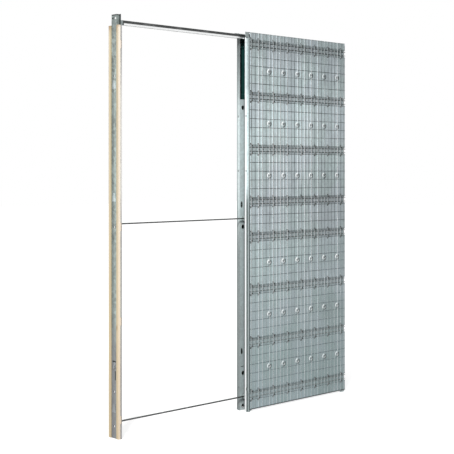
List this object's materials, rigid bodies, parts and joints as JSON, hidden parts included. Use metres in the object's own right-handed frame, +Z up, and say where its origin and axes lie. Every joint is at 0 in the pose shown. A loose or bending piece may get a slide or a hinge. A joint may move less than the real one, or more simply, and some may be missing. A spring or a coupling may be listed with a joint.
{
  "type": "pocket door frame",
  "caption": "Steel pocket door frame: meshed cassette that takes the sliding leaf, strike post with wooden battens, top running track and spacer bars.",
  "frame": {"origin": "middle of the footprint at floor level", "axes": "+X along the wall from the strike post to the cassette, +Y into the wall, +Z up"},
  "size_m": [1.779, 0.1, 2.173],
  "materials": {
    "galvanised_sheet": "galvanised, dull spangle",
    "galvanised_profile": "galvanised, rolled",
    "mesh_wire": "galvanised, drawn",
    "dark_rod": "galvanised, dull",
    "dark_steel": "dull grey",
    "track_aluminium": "mill finish",
    "batten_wood": "planed softwood"
  },
  "bodies": {
    "root": {"front_side_sheet": "galvanised_sheet", "back_side_sheet": "galvanised_sheet", "front_mesh_level_wires": "mesh_wire", "back_mesh_level_wires": "mesh_wire", "front_mesh_upright_wires": "mesh_wire", "back_mesh_upright_wires": "mesh_wire", "front_band_rods": "dark_rod", "back_band_rods": "dark_rod", "front_mouth_jamb": "galvanised_profile", "back_mouth_jamb": "galvanised_profile", "rear_channel": "galvanised_profile", "front_base_angle": "galvanised_profile", "back_base_angle": "galvanised_profile", "head_channel": "galvanised_profile", "running_track": "track_aluminium", "track_cap": "dark_steel", "strike_post": "galvanised_profile", "front_batten": "batten_wood", "back_batten": "batten_wood", "track_bracket": "galvanised_profile", "wall_anchors": "galvanised_profile", "track_hangers": "dark_steel", "middle_spacer_bar": "dark_steel", "low_spacer_bar": "dark_steel"}
  },
  "joints": []
}
